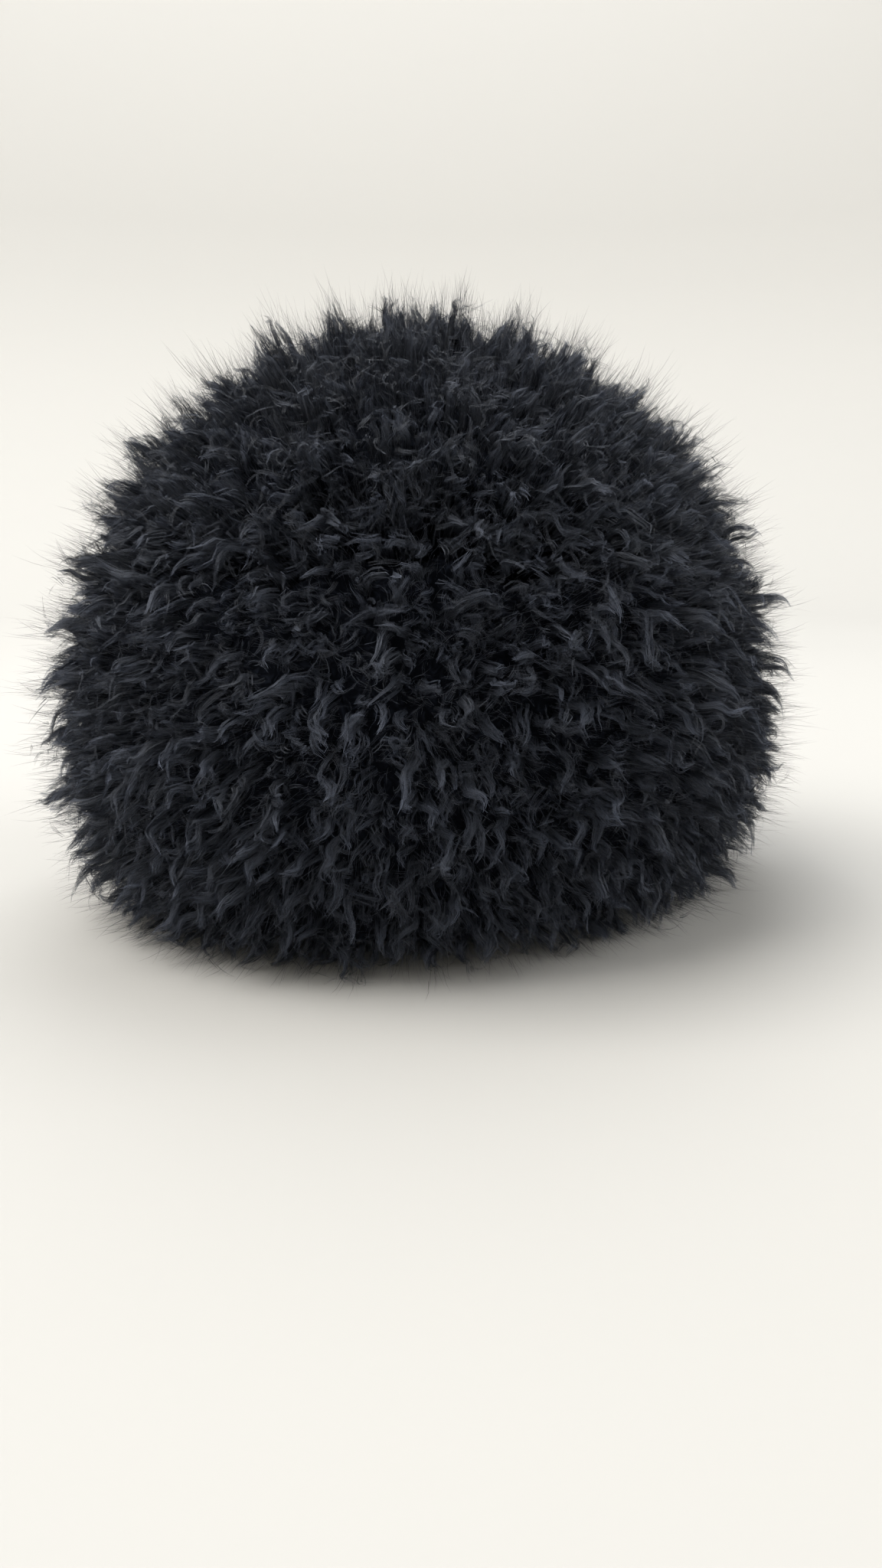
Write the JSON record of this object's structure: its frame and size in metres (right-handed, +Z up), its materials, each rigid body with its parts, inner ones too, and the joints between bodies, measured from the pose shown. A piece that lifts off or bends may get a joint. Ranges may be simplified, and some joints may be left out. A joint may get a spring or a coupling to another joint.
{
  "type": "shaggy sheepskin hat",
  "caption": "Tall rounded telpek hat of black sheepskin: a side band and a domed crown panel of thin hide, both covered in deep hanging fleece, hollow and open below for the head.",
  "frame": {"origin": "under the middle of the outline, on the plane that the rim stands on", "axes": "+Z up, front towards -Y, the wearer's left towards +X"},
  "size_m": [0.3276, 0.3662, 0.2679],
  "materials": {
    "hide": "matte tanned skin side of a sheepskin, charcoal",
    "wool": "long black wool in wavy pointed locks, soft sheen"
  },
  "bodies": {
    "root": {"side_hide": "hide", "crown_hide": "hide", "side_fleece": "wool", "crown_fleece": "wool"}
  },
  "joints": []
}
